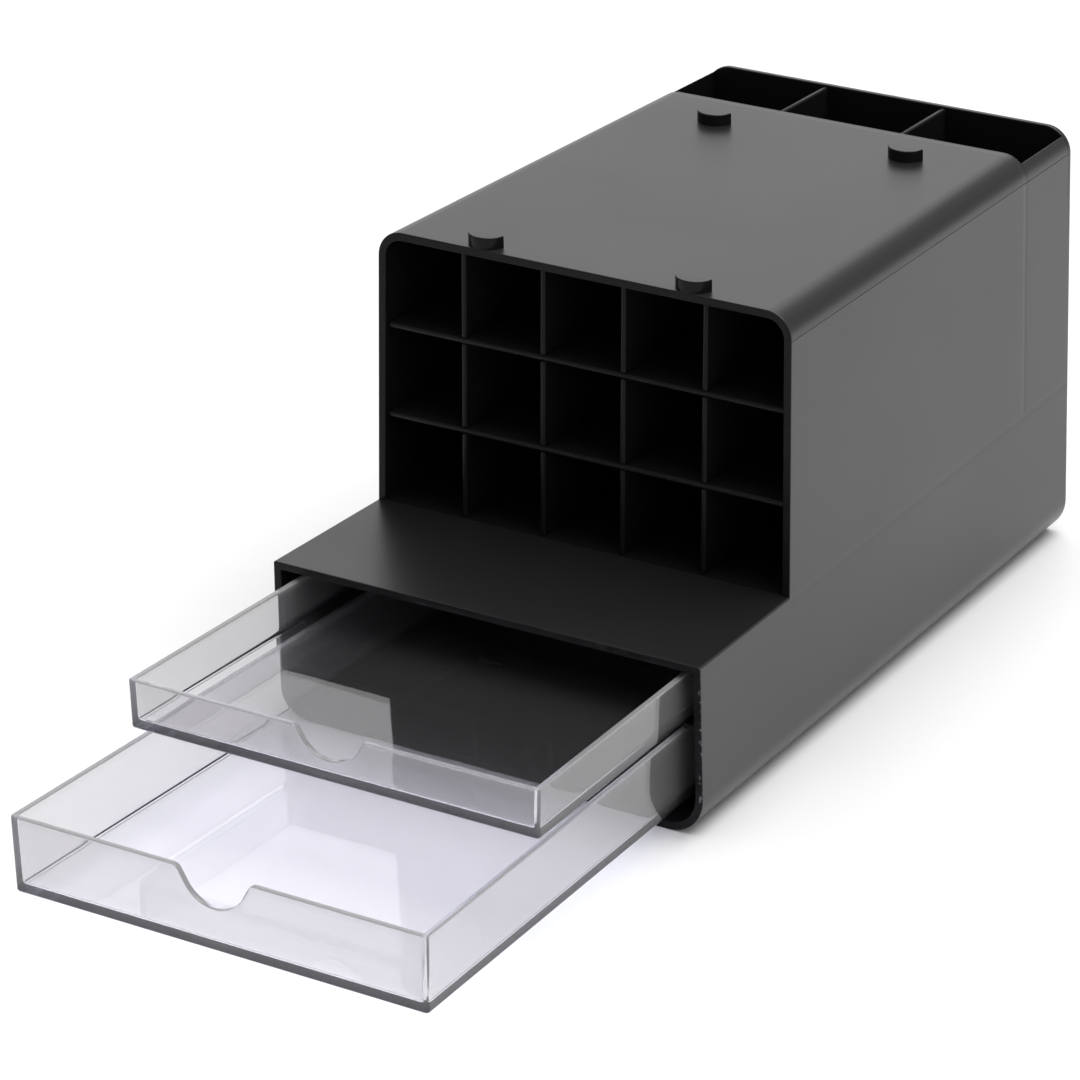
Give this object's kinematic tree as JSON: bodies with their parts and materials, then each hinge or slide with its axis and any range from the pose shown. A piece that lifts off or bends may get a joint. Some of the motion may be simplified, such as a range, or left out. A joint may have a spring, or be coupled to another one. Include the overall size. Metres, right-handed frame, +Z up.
{
  "type": "desktop marker and pencil drawer box",
  "caption": "Stepped black desk box with a grid of open marker cells, open bins at the rear and two clear pull-out drawers under a low deck.",
  "frame": {"origin": "middle of the case's flat underside", "axes": "+Z up, -Y the front that the drawers open towards, +X to the right seen from the front"},
  "size_m": [0.112, 0.2865, 0.1094],
  "materials": {
    "case": "satin black injection moulding",
    "drawers": "clear polystyrene"
  },
  "bodies": {
    "case": {"case_shell": "case", "rear_wall": "case", "marker_deck": "case", "drawer_ledge_left": "case", "drawer_ledge_right": "case", "floor_runners": "case", "bulkhead": "case", "marker_shelf_lower": "case", "marker_shelf_upper": "case", "marker_divider_1": "case", "marker_divider_2": "case", "marker_divider_3": "case", "marker_divider_4": "case", "bin_divider_left": "case", "bin_divider_right": "case", "stacking_pegs": "case"},
    "lower_drawer": {"lower_drawer": "drawers"},
    "upper_drawer": {"upper_drawer": "drawers"}
  },
  "joints": [
    {"name": "lower_drawer_slide", "type": "slide", "parent": "case", "child": "lower_drawer", "axis": [0, -1, 0], "range_m": [-0.1025, 0.0387]},
    {"name": "upper_drawer_slide", "type": "slide", "parent": "case", "child": "upper_drawer", "axis": [0, -1, 0], "range_m": [-0.0598, 0.0814]}
  ]
}
